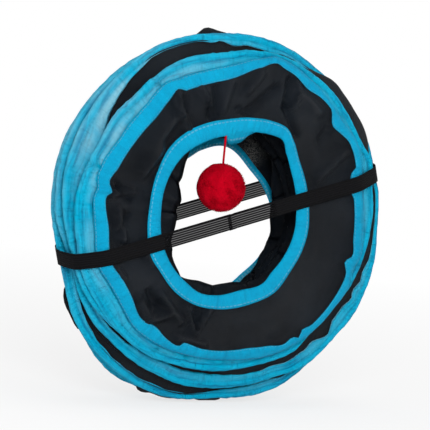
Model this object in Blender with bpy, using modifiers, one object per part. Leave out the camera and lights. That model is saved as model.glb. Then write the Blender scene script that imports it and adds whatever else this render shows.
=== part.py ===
"""A spring-wire cat tunnel, pressed flat and held by an elastic band. Metres, +Z up, axis along Y."""

import math

import bmesh
import bpy
from mathutils import Matrix, Vector

# Counts
TURNS = 5
STEPS = 32
CLIMB_STEPS = 5
BALL_SEGMENTS = 20
BALL_RINGS = 14
SMALL_SEGMENTS = 10
STRING_STEPS = 8

# Turns of the spring, measured at the outer ridge of the cloth, and how far the end turns are drawn in
TURN_RADIUS = 0.155
TURN_PITCH = 0.011
FRONT_DRAW_WIDTH = 0.0135
FRONT_DRAW_HEIGHT = 0.0215
FRONT_SHIFT_X = -0.002
FRONT_RISE = 0.0095
REAR_DRAW = 0.0115
REAR_SHIFT_X = 0.0045
RIM_FLAT_DEPTH = 0.0016
START_ANGLE = math.radians(180)

# Spring wire and its end caps
WIRE_RADIUS = 0.0011
WIRE_TAIL = 0.006
CAP_WALL = 0.0006
CAP_LENGTH = 0.009
CAP_GRIP = 0.005
CAP_CLEARANCE = 0.0003

# Sleeves, with the wire's centre at zero: distances outwards and along the axis
RIDGE_OUT = 0.0024
RIDGE_HALF = 0.0012
SHOULDER_OUT = 0.0002
SHOULDER_HALF = 0.0028
FLANK_IN = 0.007
FLANK_HALF = 0.0044
BASE_IN = 0.0125
BASE_HALF = 0.004
END_LIP_IN = 0.0095
END_LIP_HALF = 0.0068
SLEEVE_WALL = 0.0008

# Tube cloth between the turns, folded inwards
CLOTH = 0.0008
FOLD_RADIUS = 0.074
FOLD_NOSE = 0.002
FOLD_HALF = 0.0016
SEAM_OFFSET = 0.0015
CLEARANCE = 0.0004

# End panels, their seam tapes and the bindings of their openings
END_DEPTH = 0.013
PANEL_INSET = 0.0175
OPENING_RADIUS = 0.0695
OPENING_SHIFT_X = -0.0085
BINDING_WIDTH = 0.0108
TAPE_OVERLAP = 0.002
TAPE_OUTREACH = 0.0006
TAPE_END_GAP = 0.0006

# Elastic band
BAND_WIDTH = 0.013
BAND_THICKNESS = 0.0012
BAND_CLEARANCE = 0.0007
BAND_SLOPE = math.radians(16.5)
BAND_DROP = 0.0065
LAP_LENGTH = 0.012
LAP_OFFSET = 0.002

# Pom-pom and its string
POMPOM_RADIUS = 0.0205
STRING_RADIUS = 0.0009
STRING_DROP = 0.0458
KNOT_RADIUS = 0.0013
KNOT_ANGLE = math.radians(98)

# Places that follow from the sizes
FRONT_HALF_WIDTH = TURN_RADIUS - FRONT_DRAW_WIDTH
FRONT_HALF_HEIGHT = TURN_RADIUS - FRONT_DRAW_HEIGHT
REAR_RADIUS = TURN_RADIUS - REAR_DRAW
TURN_CENTRE_Z = TURN_RADIUS - RIM_FLAT_DEPTH
FRONT_CENTRE_Z = TURN_CENTRE_Z + FRONT_RISE
REAR_CENTRE_Z = REAR_RADIUS - RIM_FLAT_DEPTH
STACK_DEPTH = 2 * END_DEPTH + (TURNS - 1) * TURN_PITCH
FACE_STAND = CLEARANCE + CLOTH
BAND_STAND = FACE_STAND + BAND_CLEARANCE + BAND_THICKNESS
FRONT_Y = (POMPOM_RADIUS - CLOTH / 2 - STACK_DEPTH - BAND_STAND) / 2
REAR_Y = FRONT_Y + STACK_DEPTH
FIRST_TURN_Y = FRONT_Y + END_DEPTH
OPENING = Vector((FRONT_SHIFT_X + OPENING_SHIFT_X, FRONT_Y, FRONT_CENTRE_Z))
REAR_OPENING = Vector((REAR_SHIFT_X, REAR_Y, REAR_CENTRE_Z))
STEP_ANGLE = 2 * math.pi / STEPS
CLIMB_ANGLE = CLIMB_STEPS * STEP_ANGLE
LAST_TURN_ANGLE = 2 * math.pi - CLIMB_ANGLE
BOTTOM_ANGLE = (START_ANGLE + math.pi / 2) % (2 * math.pi)
FLAT_ANGLE = math.acos(1 - RIM_FLAT_DEPTH / TURN_RADIUS)

# Colours and surface values
COLOURS = {
    "cyan_cloth": ((0.02, 0.45, 0.7, 1), 0.6, 0),
    "cyan_tape": ((0.0, 0.38, 0.65, 1), 0.6, 0),
    "black_cloth": ((0.012, 0.014, 0.018, 1), 0.45, 0),
    "black_elastic": ((0.006, 0.007, 0.009, 1), 0.8, 0),
    "spring_steel": ((0.5, 0.5, 0.52, 1), 0.35, 1),
    "clear_vinyl": ((0.7, 0.7, 0.7, 1), 0.4, 0),
    "red_yarn": ((0.55, 0.0, 0.02, 1), 0.9, 0),
}


def empty_scene():
    """Remove what the scene holds and return a new collection for the tunnel."""
    for thing in list(bpy.data.objects):
        bpy.data.objects.remove(thing, do_unlink=True)
    parts = bpy.data.collections.new("cat_tunnel")
    bpy.context.scene.collection.children.link(parts)
    return parts


PARTS = empty_scene()


def material(name, part_name):
    """One Principled material for one piece."""
    colour, roughness, metallic = COLOURS[name]
    made = bpy.data.materials.new(f"{part_name}_{name}")
    made.use_nodes = True
    shader = made.node_tree.nodes["Principled BSDF"]
    shader.inputs["Base Color"].default_value = colour
    shader.inputs["Roughness"].default_value = roughness
    shader.inputs["Metallic"].default_value = metallic
    return made


def pivot(name, place, parent=None):
    """An empty on a body's joint axis."""
    made = bpy.data.objects.new(f"{name}_pivot", None)
    PARTS.objects.link(made)
    made.parent = parent
    made.location = place - parent.matrix_world.translation if parent else place
    bpy.context.view_layer.update()
    return made


def finish(made, colour, parent, sharp=math.radians(40)):
    """Give a piece its material, its collection and its body's empty."""
    made.data.materials.append(material(colour, made.name))
    for owner in list(made.users_collection):
        owner.objects.unlink(made)
    PARTS.objects.link(made)
    if made.type == "MESH":
        made.data.shade_smooth()
        made.data.set_sharp_from_angle(angle=sharp)
    made.parent = parent
    made.matrix_parent_inverse = parent.matrix_world.inverted()
    return made


def smooth(share):
    """A share from 0 to 1 that starts and ends level."""
    share = min(1, max(0, share))
    return share * share * (3 - 2 * share)


def between(values, place):
    """Read a list of values at a place between two of them."""
    first = min(int(place), len(values) - 2)
    return values[first] + (values[first + 1] - values[first]) * (place - first)


def turn_values(front, middle, rear):
    """One value a turn: the end turns have their own."""
    return [front] + [middle] * (TURNS - 2) + [rear]


CENTRES_X = turn_values(FRONT_SHIFT_X, 0, REAR_SHIFT_X)
CENTRES_Z = turn_values(FRONT_CENTRE_Z, TURN_CENTRE_Z, REAR_CENTRE_Z)
HALF_WIDTHS = turn_values(FRONT_HALF_WIDTH, TURN_RADIUS, REAR_RADIUS)
HALF_HEIGHTS = turn_values(FRONT_HALF_HEIGHT, TURN_RADIUS, REAR_RADIUS)


def turn_place(turn, angle):
    """How many pitches back the wire is: a turn is flat, then climbs to the next one."""
    climb = smooth((angle - 2 * math.pi + CLIMB_ANGLE) / CLIMB_ANGLE)
    return min(turn + climb, TURNS - 1)


def rim_point(place, angle, outwards, back):
    """A point by the wire of a turn, so far outwards from the wire's centre and so far back."""
    direction = START_ANGLE - angle
    across, up = math.cos(direction), math.sin(direction)
    out = outwards - RIDGE_OUT
    x = between(CENTRES_X, place) + between(HALF_WIDTHS, place) * across
    z = between(CENTRES_Z, place) + between(HALF_HEIGHTS, place) * up
    return Vector((x + out * across, FIRST_TURN_Y + TURN_PITCH * place + back, max(0, z) + out * up))


def inward_point(place, angle, radius, back):
    """A point at a radius round a turn's own centre."""
    direction = START_ANGLE - angle
    x = between(CENTRES_X, place) + radius * math.cos(direction)
    z = between(CENTRES_Z, place) + radius * math.sin(direction)
    return Vector((x, FIRST_TURN_Y + TURN_PITCH * place + back, z))


def inset(outline, wall):
    """The outline moved inwards by a wall, for an outline that turns anticlockwise."""
    moved = []
    for i, here in enumerate(outline):
        before = (here - outline[i - 1]).normalized()
        after = (outline[(i + 1) % len(outline)] - here).normalized()
        normal_before = Vector((-before.y, before.x))
        normal_after = Vector((-after.y, after.x))
        half = (normal_before + normal_after).normalized()
        moved.append(here + half * (wall / half.dot(normal_before)))
    return moved


def mesh_object(name, points, faces):
    """A closed mesh from points and faces, with its faces turned outwards."""
    made = bpy.data.meshes.new(name)
    made.from_pydata(points, [], faces)
    shape = bmesh.new()
    shape.from_mesh(made)
    bmesh.ops.recalc_face_normals(shape, faces=shape.faces)
    shape.to_mesh(made)
    shape.free()
    return bpy.data.objects.new(name, made)


def skin(count, sides, first, closed):
    """Quads over rows of points, each row a closed outline."""
    faces = []
    for row in range(count if closed else count - 1):
        here = first + row * sides
        there = first + (row + 1) % count * sides
        for i in range(sides):
            j = (i + 1) % sides
            faces.append((here + i, here + j, there + j, there + i))
    return faces


def loft(name, rows, closed=False):
    """A solid over closed outlines, capped at both ends unless it closes on itself."""
    sides = len(rows[0])
    points = [point for row in rows for point in row]
    faces = skin(len(rows), sides, 0, closed)
    if not closed:
        faces.append(tuple(range(sides)))
        faces.append(tuple(range(len(points) - sides, len(points))))
    return mesh_object(name, points, faces)


def sleeve_loft(name, outer_rows, inner_rows):
    """A sleeve that is open at both ends: an outer skin, an inner skin and two end rims."""
    sides, count = len(outer_rows[0]), len(outer_rows)
    points = [point for row in outer_rows + inner_rows for point in row]
    inside = count * sides
    faces = skin(count, sides, 0, False) + skin(count, sides, inside, False)
    for row in (0, (count - 1) * sides):
        for i in range(sides):
            j = (i + 1) % sides
            faces.append((row + i, row + j, inside + row + j, inside + row + i))
    return mesh_object(name, points, faces)


def flat_outline(name, loops, thickness):
    """A flat outline with its holes, extruded to a thickness."""
    drawn = bpy.data.curves.new(name, "CURVE")
    drawn.dimensions = "2D"
    drawn.fill_mode = "BOTH"
    drawn.extrude = thickness / 2
    for loop in loops:
        line = drawn.splines.new("POLY")
        line.points.add(len(loop) - 1)
        for point, (across, up) in zip(line.points, loop):
            point.co = (across, up, 0, 1)
        line.use_cyclic_u = True
    return bpy.data.objects.new(name, drawn)


def tube(name, points, radius, resolution):
    """A round bar along points, with filled caps."""
    drawn = bpy.data.curves.new(name, "CURVE")
    drawn.dimensions = "3D"
    drawn.bevel_depth = radius
    drawn.bevel_resolution = resolution
    drawn.use_fill_caps = True
    line = drawn.splines.new("POLY")
    line.points.add(len(points) - 1)
    for point, place in zip(line.points, points):
        point.co = (*place, 1)
    return bpy.data.objects.new(name, drawn)


def turned(name, profile, segments, closed):
    """A profile turned once round Z."""
    made = bpy.data.meshes.new(name)
    edges = [(i, i + 1) for i in range(len(profile) - 1)]
    if closed:
        edges.append((len(profile) - 1, 0))
    made.from_pydata([(radius, 0, height) for radius, height in profile], edges, [])
    thing = bpy.data.objects.new(name, made)
    turning = thing.modifiers.new("turn", "SCREW")
    turning.steps = segments
    turning.render_steps = segments
    turning.use_merge_vertices = True
    turning.merge_threshold = CLOTH / 80
    turning.use_smooth_shade = True
    return thing


def turn_angles(turn):
    """The angles of a turn's sections: whole steps and the ends of the flat, with a gap at the next turn."""
    gap = CLEARANCE / TURN_RADIUS
    last = LAST_TURN_ANGLE if turn == TURNS - 1 else 2 * math.pi
    inner = [i * STEP_ANGLE for i in range(1, STEPS) if i * STEP_ANGLE < last - STEP_ANGLE / 2]
    return [gap / 2] + sorted(inner + [BOTTOM_ANGLE - FLAT_ANGLE, BOTTOM_ANGLE + FLAT_ANGLE]) + [last - gap / 2]


def sleeve_outline(front_end, rear_end):
    """The sleeve's outline round the wire, as distances outwards and back."""
    front_flank = (-END_LIP_IN, -END_LIP_HALF) if front_end else (-FLANK_IN, -FLANK_HALF)
    rear_flank = (-END_LIP_IN, END_LIP_HALF) if rear_end else (-FLANK_IN, FLANK_HALF)
    outline = [
        (RIDGE_OUT, -RIDGE_HALF),
        (RIDGE_OUT, RIDGE_HALF),
        (SHOULDER_OUT, SHOULDER_HALF),
        rear_flank,
        (-BASE_IN, BASE_HALF),
        (-BASE_IN, -BASE_HALF),
        front_flank,
        (SHOULDER_OUT, -SHOULDER_HALF),
    ]
    return [Vector(point) for point in outline]


def sleeve(name, turn, parent):
    """The cyan sleeve of one turn of the wire."""
    outline = sleeve_outline(turn == 0, turn == TURNS - 1)
    inner = inset(outline, SLEEVE_WALL)
    rows = {"outer": [], "inner": []}
    for angle in turn_angles(turn):
        place = turn_place(turn, angle)
        rows["outer"].append([rim_point(place, angle, out, back) for out, back in outline])
        rows["inner"].append([rim_point(place, angle, out, back) for out, back in inner])
    return finish(sleeve_loft(name, rows["outer"], rows["inner"]), "cyan_cloth", parent)


def tube_section(name, turn, parent):
    """Black cloth that runs in from one turn, folds back at the fold radius and runs out to the next."""
    rows = []
    seam_out = -BASE_IN - CLEARANCE
    for angle in turn_angles(turn if turn < TURNS - 2 else TURNS - 1):
        front = turn_place(turn, angle)
        rear = turn_place(turn + 1, angle)
        middle = (front + rear) / 2
        rows.append(
            [
                rim_point(front, angle, seam_out, SEAM_OFFSET),
                inward_point(middle, angle, FOLD_RADIUS + FOLD_NOSE, -FOLD_HALF),
                inward_point(middle, angle, FOLD_RADIUS, 0),
                inward_point(middle, angle, FOLD_RADIUS + FOLD_NOSE, FOLD_HALF),
                rim_point(rear, angle, seam_out, -SEAM_OFFSET),
                rim_point(rear, angle, seam_out, -SEAM_OFFSET - CLOTH),
                inward_point(middle, angle, FOLD_RADIUS + FOLD_NOSE, 0),
                rim_point(front, angle, seam_out, SEAM_OFFSET + CLOTH),
            ]
        )
    return finish(loft(name, rows), "black_cloth", parent)


def end_panel(name, turn, face_y, inwards, opening, parent):
    """Black ring of cloth between the end turn and the opening."""
    outer, inner = [], []
    rim = OPENING_RADIUS + CLOTH + CLEARANCE
    for i in range(2 * STEPS):
        angle = i * STEP_ANGLE / 2
        edge = rim_point(turn, angle, RIDGE_OUT - PANEL_INSET, 0)
        outer.append((edge.x, edge.z))
        inner.append((opening.x + rim * math.cos(angle), opening.z + rim * math.sin(angle)))
    made = flat_outline(name, [outer, inner], CLOTH)
    made.rotation_euler = (math.pi / 2, 0, 0)
    made.location = (0, face_y + inwards * CLOTH / 2, 0)
    return finish(made, "black_cloth", parent)


def opening_binding(name, face_y, inwards, opening, parent):
    """Cyan tape folded over the rim of an opening, with the panel's cloth between its two layers."""
    half = CLOTH / 2 + CLEARANCE
    outer = OPENING_RADIUS + BINDING_WIDTH
    profile = [
        (outer, half + CLOTH),
        (outer, half),
        (OPENING_RADIUS + CLOTH, half),
        (OPENING_RADIUS + CLOTH, -half),
        (outer, -half),
        (outer, -half - CLOTH),
        (OPENING_RADIUS, -half - CLOTH),
        (OPENING_RADIUS, half + CLOTH),
    ]
    made = turned(name, profile, 2 * STEPS, True)
    made.rotation_euler = (math.pi / 2, 0, 0)
    made.location = (opening.x, face_y + inwards * CLOTH / 2, opening.z)
    return finish(made, "cyan_tape", parent)


def seam_tape(name, turn, face_y, inwards, parent):
    """Cyan tape from the panel's edge out to the lip of the end sleeve."""
    inner_in = PANEL_INSET + TAPE_OVERLAP
    knee_in = PANEL_INSET - TAPE_OUTREACH
    lip_in = RIDGE_OUT + END_LIP_IN + TAPE_END_GAP
    lip_back = END_DEPTH - END_LIP_HALF - TAPE_END_GAP
    run = Vector((knee_in - lip_in, lip_back)).normalized()
    side = Vector((-run.y, run.x)) * (CLOTH / 2)
    level = -CLEARANCE - CLOTH / 2
    line = [(-inner_in, level - CLOTH / 2), (-knee_in, level - CLOTH / 2)]
    line += [(-lip_in - side.x, lip_back - side.y), (-lip_in + side.x, lip_back + side.y)]
    line += [(-knee_in + side.x, level + CLOTH / 2), (-inner_in, level + CLOTH / 2)]
    rows = []
    for i in range(2 * STEPS):
        angle = i * STEP_ANGLE / 2
        row = []
        for out, back in line:
            point = rim_point(turn, angle, RIDGE_OUT + out, 0)
            point.y = face_y + inwards * back
            row.append(point)
        rows.append(row)
    return finish(loft(name, rows, closed=True), "cyan_tape", parent)


def spring_wire(parent):
    """One wire through all turns, with a straight tail at both ends."""
    points = []
    for turn in range(TURNS):
        for angle in turn_angles(turn)[: None if turn == TURNS - 1 else -1]:
            points.append(rim_point(turn_place(turn, angle), angle, 0, 0))
    ends = []
    for end, next_in in ((points[0], points[1]), (points[-1], points[-2])):
        way = (end - next_in).normalized()
        ends.append((end + way * WIRE_TAIL, way))
    points = [ends[0][0]] + points + [ends[1][0]]
    gap = least_gap(points)
    print(f"spring wire: least gap between its turns {gap * 1000:.2f} mm")
    finish(tube("spring_wire", points, WIRE_RADIUS, 1), "spring_steel", parent)
    return ends


def least_gap(points):
    """The least gap between two turns of the wire, measured between its points."""
    least = TURN_RADIUS
    for i, here in enumerate(points):
        for there in points[i + STEPS // 2:]:
            least = min(least, (here - there).length)
    return least - 2 * WIRE_RADIUS


def wire_end_cap(name, end, parent):
    """A small cup over a cut end of the wire."""
    tip, way = end
    bore = WIRE_RADIUS + CAP_CLEARANCE
    outer = bore + CAP_WALL
    floor = CAP_CLEARANCE
    profile = [
        (0, floor + CAP_WALL + CAP_LENGTH - CAP_GRIP),
        (outer, floor + CAP_WALL + CAP_LENGTH - CAP_GRIP),
        (outer, -CAP_GRIP),
        (bore, -CAP_GRIP),
        (bore, floor),
        (0, floor),
    ]
    made = turned(name, profile, SMALL_SEGMENTS, False)
    made.rotation_euler = way.to_track_quat("Z", "Y").to_euler()
    made.location = tip
    return finish(made, "clear_vinyl", parent)


def rim_reach(place, side):
    """How far along the band's line a turn's ridge lies from the opening's centre."""
    along = Vector((math.cos(BAND_SLOPE), math.sin(BAND_SLOPE)))
    wide, high = between(HALF_WIDTHS, place), between(HALF_HEIGHTS, place)
    from_x = (OPENING.x - between(CENTRES_X, place)) / wide
    from_z = (OPENING.z - BAND_DROP - between(CENTRES_Z, place)) / high
    step_x, step_z = along.x / wide, along.y / high
    square = step_x**2 + step_z**2
    half = from_x * step_x + from_z * step_z
    rest = from_x**2 + from_z**2 - 1
    return (-half + side * math.sqrt(half**2 - square * rest)) / square


def hull(points):
    """The convex outline round points, anticlockwise."""
    ordered = sorted(points)

    def half(row):
        kept = []
        for x, y in row:
            while len(kept) > 1:
                (ax, ay), (bx, by) = kept[-2:]
                if (bx - ax) * (y - ay) - (by - ay) * (x - ax) > 0:
                    break
                kept.pop()
            kept.append((x, y))
        return kept[:-1]

    return [Vector(point) for point in half(ordered) + half(ordered[::-1])]


def band_section():
    """What the band goes round, cut along the band's line: places along it and along the axis."""
    points = []
    for side in (-1, 1):
        for turn in range(TURNS):
            reach = rim_reach(turn, side)
            level = FIRST_TURN_Y + TURN_PITCH * turn
            for out, back in sleeve_outline(turn == 0, turn == TURNS - 1):
                points.append((reach + side * (out - RIDGE_OUT), level + back))
        for turn, level in ((0, FRONT_Y - FACE_STAND), (TURNS - 1, REAR_Y + FACE_STAND)):
            points.append((rim_reach(turn, side) - side * (PANEL_INSET - TAPE_OUTREACH), level))
    return hull(points)


def elastic_band(parent):
    """A flat strip stretched round the stack, with its ends lapped and sewn on the front run."""
    section = band_section()
    inner = inset(section, -BAND_CLEARANCE)
    outer = inset(section, -BAND_CLEARANCE - BAND_THICKNESS)
    front = min(point.y for point in outer)
    lap = [
        Vector((LAP_OFFSET, front)),
        Vector((LAP_OFFSET, front - BAND_THICKNESS)),
        Vector((LAP_OFFSET + LAP_LENGTH, front - BAND_THICKNESS)),
        Vector((LAP_OFFSET + LAP_LENGTH, front)),
    ]
    first = next(
        i for i, point in enumerate(outer)
        if abs(point.y - front) < CLEARANCE and point.x < 0
    )
    outer = outer[: first + 1] + lap + outer[first + 1:]
    made = flat_outline("elastic_band", [outer, inner], BAND_WIDTH)
    along = Vector((math.cos(BAND_SLOPE), 0, math.sin(BAND_SLOPE)))
    back = Vector((0, 1, 0))
    width = along.cross(back)
    turn = Matrix((along, back, width)).transposed().to_4x4()
    made.matrix_world = Matrix.Translation((OPENING.x, 0, OPENING.z - BAND_DROP)) @ turn
    return finish(made, "black_elastic", parent)


def knot_place():
    """The centre of the knot, just inside the binding's rim."""
    radius = OPENING_RADIUS - CLEARANCE - KNOT_RADIUS
    across, up = math.cos(KNOT_ANGLE), math.sin(KNOT_ANGLE)
    return OPENING + Vector((radius * across, CLOTH / 2, radius * up))


def ball(name, centre, radius, segments, rings, colour, parent):
    """A round ball."""
    made = bpy.data.meshes.new(name)
    shape = bmesh.new()
    bmesh.ops.create_uvsphere(shape, u_segments=segments, v_segments=rings, radius=radius)
    shape.to_mesh(made)
    shape.free()
    thing = bpy.data.objects.new(name, made)
    thing.location = centre
    return finish(thing, colour, parent, math.radians(60))


def pompom_on_string(knot_parent, string_parent, pompom_parent):
    """The knot at the hem, the string and the yarn ball below it."""
    knot = knot_place()
    centre = knot - Vector((0, 0, STRING_DROP))
    top = knot - Vector((0, 0, KNOT_RADIUS + CLEARANCE))
    bottom = centre + Vector((0, 0, POMPOM_RADIUS + CLEARANCE))
    points = [top.lerp(bottom, i / STRING_STEPS) for i in range(STRING_STEPS + 1)]
    ball("pompom_tack", knot, KNOT_RADIUS, SMALL_SEGMENTS, SMALL_SEGMENTS // 2, "red_yarn", knot_parent)
    finish(tube("pompom_string", points, STRING_RADIUS, 2), "red_yarn", string_parent)
    ball("pompom", centre, POMPOM_RADIUS, BALL_SEGMENTS, BALL_RINGS, "red_yarn", pompom_parent)


def tunnel():
    """All pieces, rear end first: each turn slides on the one behind it."""
    rear = pivot("rear_end", Vector((REAR_OPENING.x, REAR_Y, REAR_OPENING.z)))
    bodies = [rear]
    for turn in range(TURNS - 2, -1, -1):
        level = FIRST_TURN_Y + TURN_PITCH * turn
        bodies.insert(0, pivot(f"turn_{turn + 1}", Vector((CENTRES_X[turn], level, CENTRES_Z[turn])), bodies[0]))
    band = pivot("elastic_band", Vector((OPENING.x, (FRONT_Y + REAR_Y) / 2, OPENING.z - BAND_DROP)), rear)
    swing = pivot("pompom_swing", knot_place(), bodies[0])
    sway = pivot("pompom_sway", knot_place(), swing)
    spin = pivot("pompom_spin", knot_place(), sway)

    names = ["front_casing"] + [f"casing_turn_{turn}" for turn in range(2, TURNS)] + ["rear_casing"]
    for turn, name in enumerate(names):
        sleeve(name, turn, bodies[turn])
    for turn in range(TURNS - 1):
        tube_section(f"tube_section_{turn + 1}", turn, bodies[turn + 1])
    ends = spring_wire(rear)
    wire_end_cap("front_wire_end_cap", ends[0], bodies[0])
    wire_end_cap("rear_wire_end_cap", ends[1], rear)

    last = TURNS - 1
    end_panel("front_panel", 0, FRONT_Y, 1, OPENING, bodies[0])
    end_panel("rear_panel", last, REAR_Y, -1, REAR_OPENING, rear)
    opening_binding("front_opening_binding", FRONT_Y, 1, OPENING, bodies[0])
    opening_binding("rear_opening_binding", REAR_Y, -1, REAR_OPENING, rear)
    seam_tape("front_seam_tape", 0, FRONT_Y, 1, bodies[0])
    seam_tape("rear_seam_tape", last, REAR_Y, -1, rear)
    elastic_band(band)
    pompom_on_string(swing, sway, spin)


tunnel()
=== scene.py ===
"""Looks of a spring-wire cat tunnel, folded flat and held by an elastic band. Metres, +Z up."""

import math

import bpy
from mathutils import Matrix, Vector, noise


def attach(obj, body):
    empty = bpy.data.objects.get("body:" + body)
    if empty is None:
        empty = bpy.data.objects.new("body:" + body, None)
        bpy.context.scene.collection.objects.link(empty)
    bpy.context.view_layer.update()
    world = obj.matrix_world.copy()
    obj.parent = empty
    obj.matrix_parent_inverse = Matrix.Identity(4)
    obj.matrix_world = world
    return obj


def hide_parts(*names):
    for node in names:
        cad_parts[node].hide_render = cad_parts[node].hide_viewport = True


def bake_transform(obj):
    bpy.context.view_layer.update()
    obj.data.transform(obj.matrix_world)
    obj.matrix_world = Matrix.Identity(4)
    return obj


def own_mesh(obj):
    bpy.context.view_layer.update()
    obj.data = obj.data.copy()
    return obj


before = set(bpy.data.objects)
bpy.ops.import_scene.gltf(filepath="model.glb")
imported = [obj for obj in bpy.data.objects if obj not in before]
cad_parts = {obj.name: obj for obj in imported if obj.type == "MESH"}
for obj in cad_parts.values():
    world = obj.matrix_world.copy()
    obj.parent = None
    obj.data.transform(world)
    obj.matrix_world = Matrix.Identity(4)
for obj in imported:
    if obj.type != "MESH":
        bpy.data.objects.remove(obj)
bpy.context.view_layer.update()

# Counts
ROW_STEP = 1.5
WIRE_STEP = 4
WIRE_SIDES = 8
FOLD_SEGMENTS = 12
FOLD_ROWS = 10
SKIN_COLUMNS = 8
CLIMB_CELLS = 28
PANEL_COLUMNS = 26
REAR_COLUMNS = 12
THIN_COLUMNS = 4
STRING_POINTS = 24
CORE_RINGS = 24
TACK_RINGS = 10
YARN_TUFTS = 7000

# Camera, fitted to the photograph: its angles, distance and the size of a pixel at the front opening
AZIMUTH = math.radians(-31)
ELEVATION = math.radians(5.4)
ROLL = math.radians(5.5)
DISTANCE = 2.5
PIXEL = 0.00082
IMAGE_HALF = 215
OPENING_PIXEL = (228.5, 214)
SENSOR = 36

# Places along the axis
PITCH = 0.011
FIRST_Y = -0.0135
FACE_Y = -0.0265
REAR_FACE_Y = 0.0435
TAPE_BACK_Y = -0.0218
REAR_TAPE_Y = 0.0388
FLOOR_Z = -0.0005

# Cloth, wire and hems: the channel of a sleeve holds the wire, so deep below the ridge
CLOTH = 0.0005
WIRE_RADIUS = 0.0011
WIRE_DEPTH = 0.0024
CHANNEL = 0.0052
CHANNEL_HALF = 0.0021
HEM_HALF = 0.0042
HEM_TURNED = 0.0009
STITCH_SHARE = 0.68
BELLY = 0.0037
SUNK = 0.0014
SAME_POINT = 0.00001
SLEEVE_RIPPLES = ((0.0007, 60), (0.0008, 50), (0.0006, 40), (0.0009, 26), (0.0004, 120), (0.0003, 200))
# Painted light coming through each point of a sleeve's cut: most on the single-layer flanks, less at the
# hems, ridge and channel
SLEEVE_PAINTED_LIGHT = (0.2, 0.4, 0.85, 1, 0.3, 0.15, 0.3, 0.5, 0.5, 0.3, 0.15, 0.3, 1, 0.85, 0.3, 0.2)

# Black cloth between the turns
SKIN_EDGE = 0.0036
SKIN_GAP = PITCH - 2 * SKIN_EDGE
SKIN_INSET = 0.0105
SKIN_LAP = 0.001
SKIN_RIPPLE = 0.0016

# Angles: where the turns climb, the seams, and where the painted light coming through the cloth is strongest
CLIMB_FROM = 236.25
CLIMB_TO = 180
CLIMB_RADIUS = 0.15
HOOP_SEAM = 196.5
FACE_SEAM = 284
PAINTED_LIGHT_MIDDLE = 150
PAINTED_LIGHT_REACH = 38
PAINTED_LIGHT_LEAST = 0.18
THIN_ANGLE = 57
THIN_REACH = 12
BINDING_TURNED = 35

# Centres across the axis, in millimetres
FRONT = (-10.5, 162.9)
FRONT_HOOP = (-7.5, 162.9)
STACK = (0, 153.4)
REAR = (4.5, 141.9)

# Outlines: an angle in degrees, 0 to the right and 90 up, with a radius in millimetres
BINDING_INNER = (
    (3, 65.5), (20, 66), (35, 68), (47, 72.5), (54, 77.5), (62, 75.5), (70, 72.5), (82, 69), (100, 65),
    (117, 65), (135, 66.5), (155, 66), (168, 65), (183, 64), (205, 65), (222, 66), (240, 67), (252, 69),
    (265, 68), (286, 65.5), (304, 69), (315, 66.5), (331, 66.5), (347, 66.5),
)
BINDING_OUTER = (
    (4, 77.5), (20, 77), (37, 78.5), (50, 84.5), (57, 87.5), (67, 85), (79, 81.5), (96, 78.5), (109, 79),
    (123, 80.5), (139, 81), (155, 78), (176, 75.5), (193, 77), (207, 79), (220, 77.5), (236, 79),
    (253, 79.5), (268, 79), (291, 79.5), (309, 82), (324, 79.5), (340, 79.5), (352, 79),
)
PANEL_EDGE = (
    (3, 123), (8, 122), (11, 119.5), (18, 121), (20, 127.5), (30, 128), (36, 123), (40, 120.5), (43, 124),
    (45, 127.5), (52, 127), (59, 124.5), (66, 127.5), (72, 128.5), (76, 130), (81, 123.5), (93, 112.5),
    (103, 110), (118, 111.5), (120, 116), (126, 112), (135, 108), (146, 108.5), (154, 110), (163, 112.5),
    (169, 116.5), (173, 111.5), (175, 116.5), (188, 112), (202, 114), (211, 109.5), (220, 109.5),
    (230, 114.5), (238, 111.5), (245, 114.5), (252, 116), (254, 111.5), (263, 113), (285, 115),
    (295, 120), (301, 125.5), (306, 125), (308, 129), (311, 125.5), (315, 128.5), (333, 130), (339, 129),
    (343, 123.5), (346, 129), (352, 125.5),
)
TAPE_OUTER = (
    (2, 134.5), (11, 134), (25, 138), (40, 133), (60, 134), (75, 135.5), (82, 130), (93, 122.5),
    (105, 120.5), (117, 122), (124, 124.5), (134, 120.5), (152, 120.5), (160, 124), (168, 126),
    (172, 123.5), (176, 125), (188, 122.5), (202, 124), (211, 120), (220, 119.5), (232, 123), (245, 122),
    (262, 121), (277, 123), (288, 127), (296, 130.5), (306, 133.5), (313, 136), (325, 138), (335, 140),
    (341, 137), (347, 140.5), (354, 137),
)
FRONT_RIDGE = (
    (2, 147), (11, 146.5), (18, 149), (26, 144), (35, 142), (50, 141), (60, 139.5), (72, 138.5), (86, 135),
    (97, 132), (112, 134), (128, 132.5), (136, 131.5), (146, 134), (156, 133), (168, 136.5), (178, 139),
    (193, 137.5), (201, 138.5), (215, 136), (230, 134.5), (245, 134), (255, 132), (267, 132.5),
    (286, 134.5), (294, 137), (306, 141), (314, 138.5), (327, 141), (339, 145), (352, 146.5),
)
TURN_2_RIDGE = (
    (0, 153), (13, 153.5), (18, 150.5), (23, 152.5), (38, 153), (59, 152.5), (72, 154.5), (83, 156),
    (96, 157), (105, 159), (115, 161.5), (122, 162.5), (129, 162), (143, 160.5), (157, 159), (166, 157),
    (175, 152.5), (189, 146.5), (197, 144.5), (208, 145), (218, 143.5), (225, 141), (233, 139.5),
    (248, 138), (259, 139.5), (271, 139.5), (284, 141.5), (296, 144.5), (303, 149), (310, 152.5),
    (322, 153), (327, 155.5), (336, 157), (348, 156),
)
TURN_3_RIDGE = (
    (0, 153), (18, 150), (45, 150), (90, 151), (120, 158), (140, 159.5), (158, 160), (176, 153.5),
    (190, 148), (198, 147), (206, 150.5), (212, 153), (219, 154.5), (233, 152.5), (246, 153), (259, 152.5),
    (270, 150.8), (278, 151.5), (289, 156), (300, 159), (315, 157), (335, 155),
)
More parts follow.
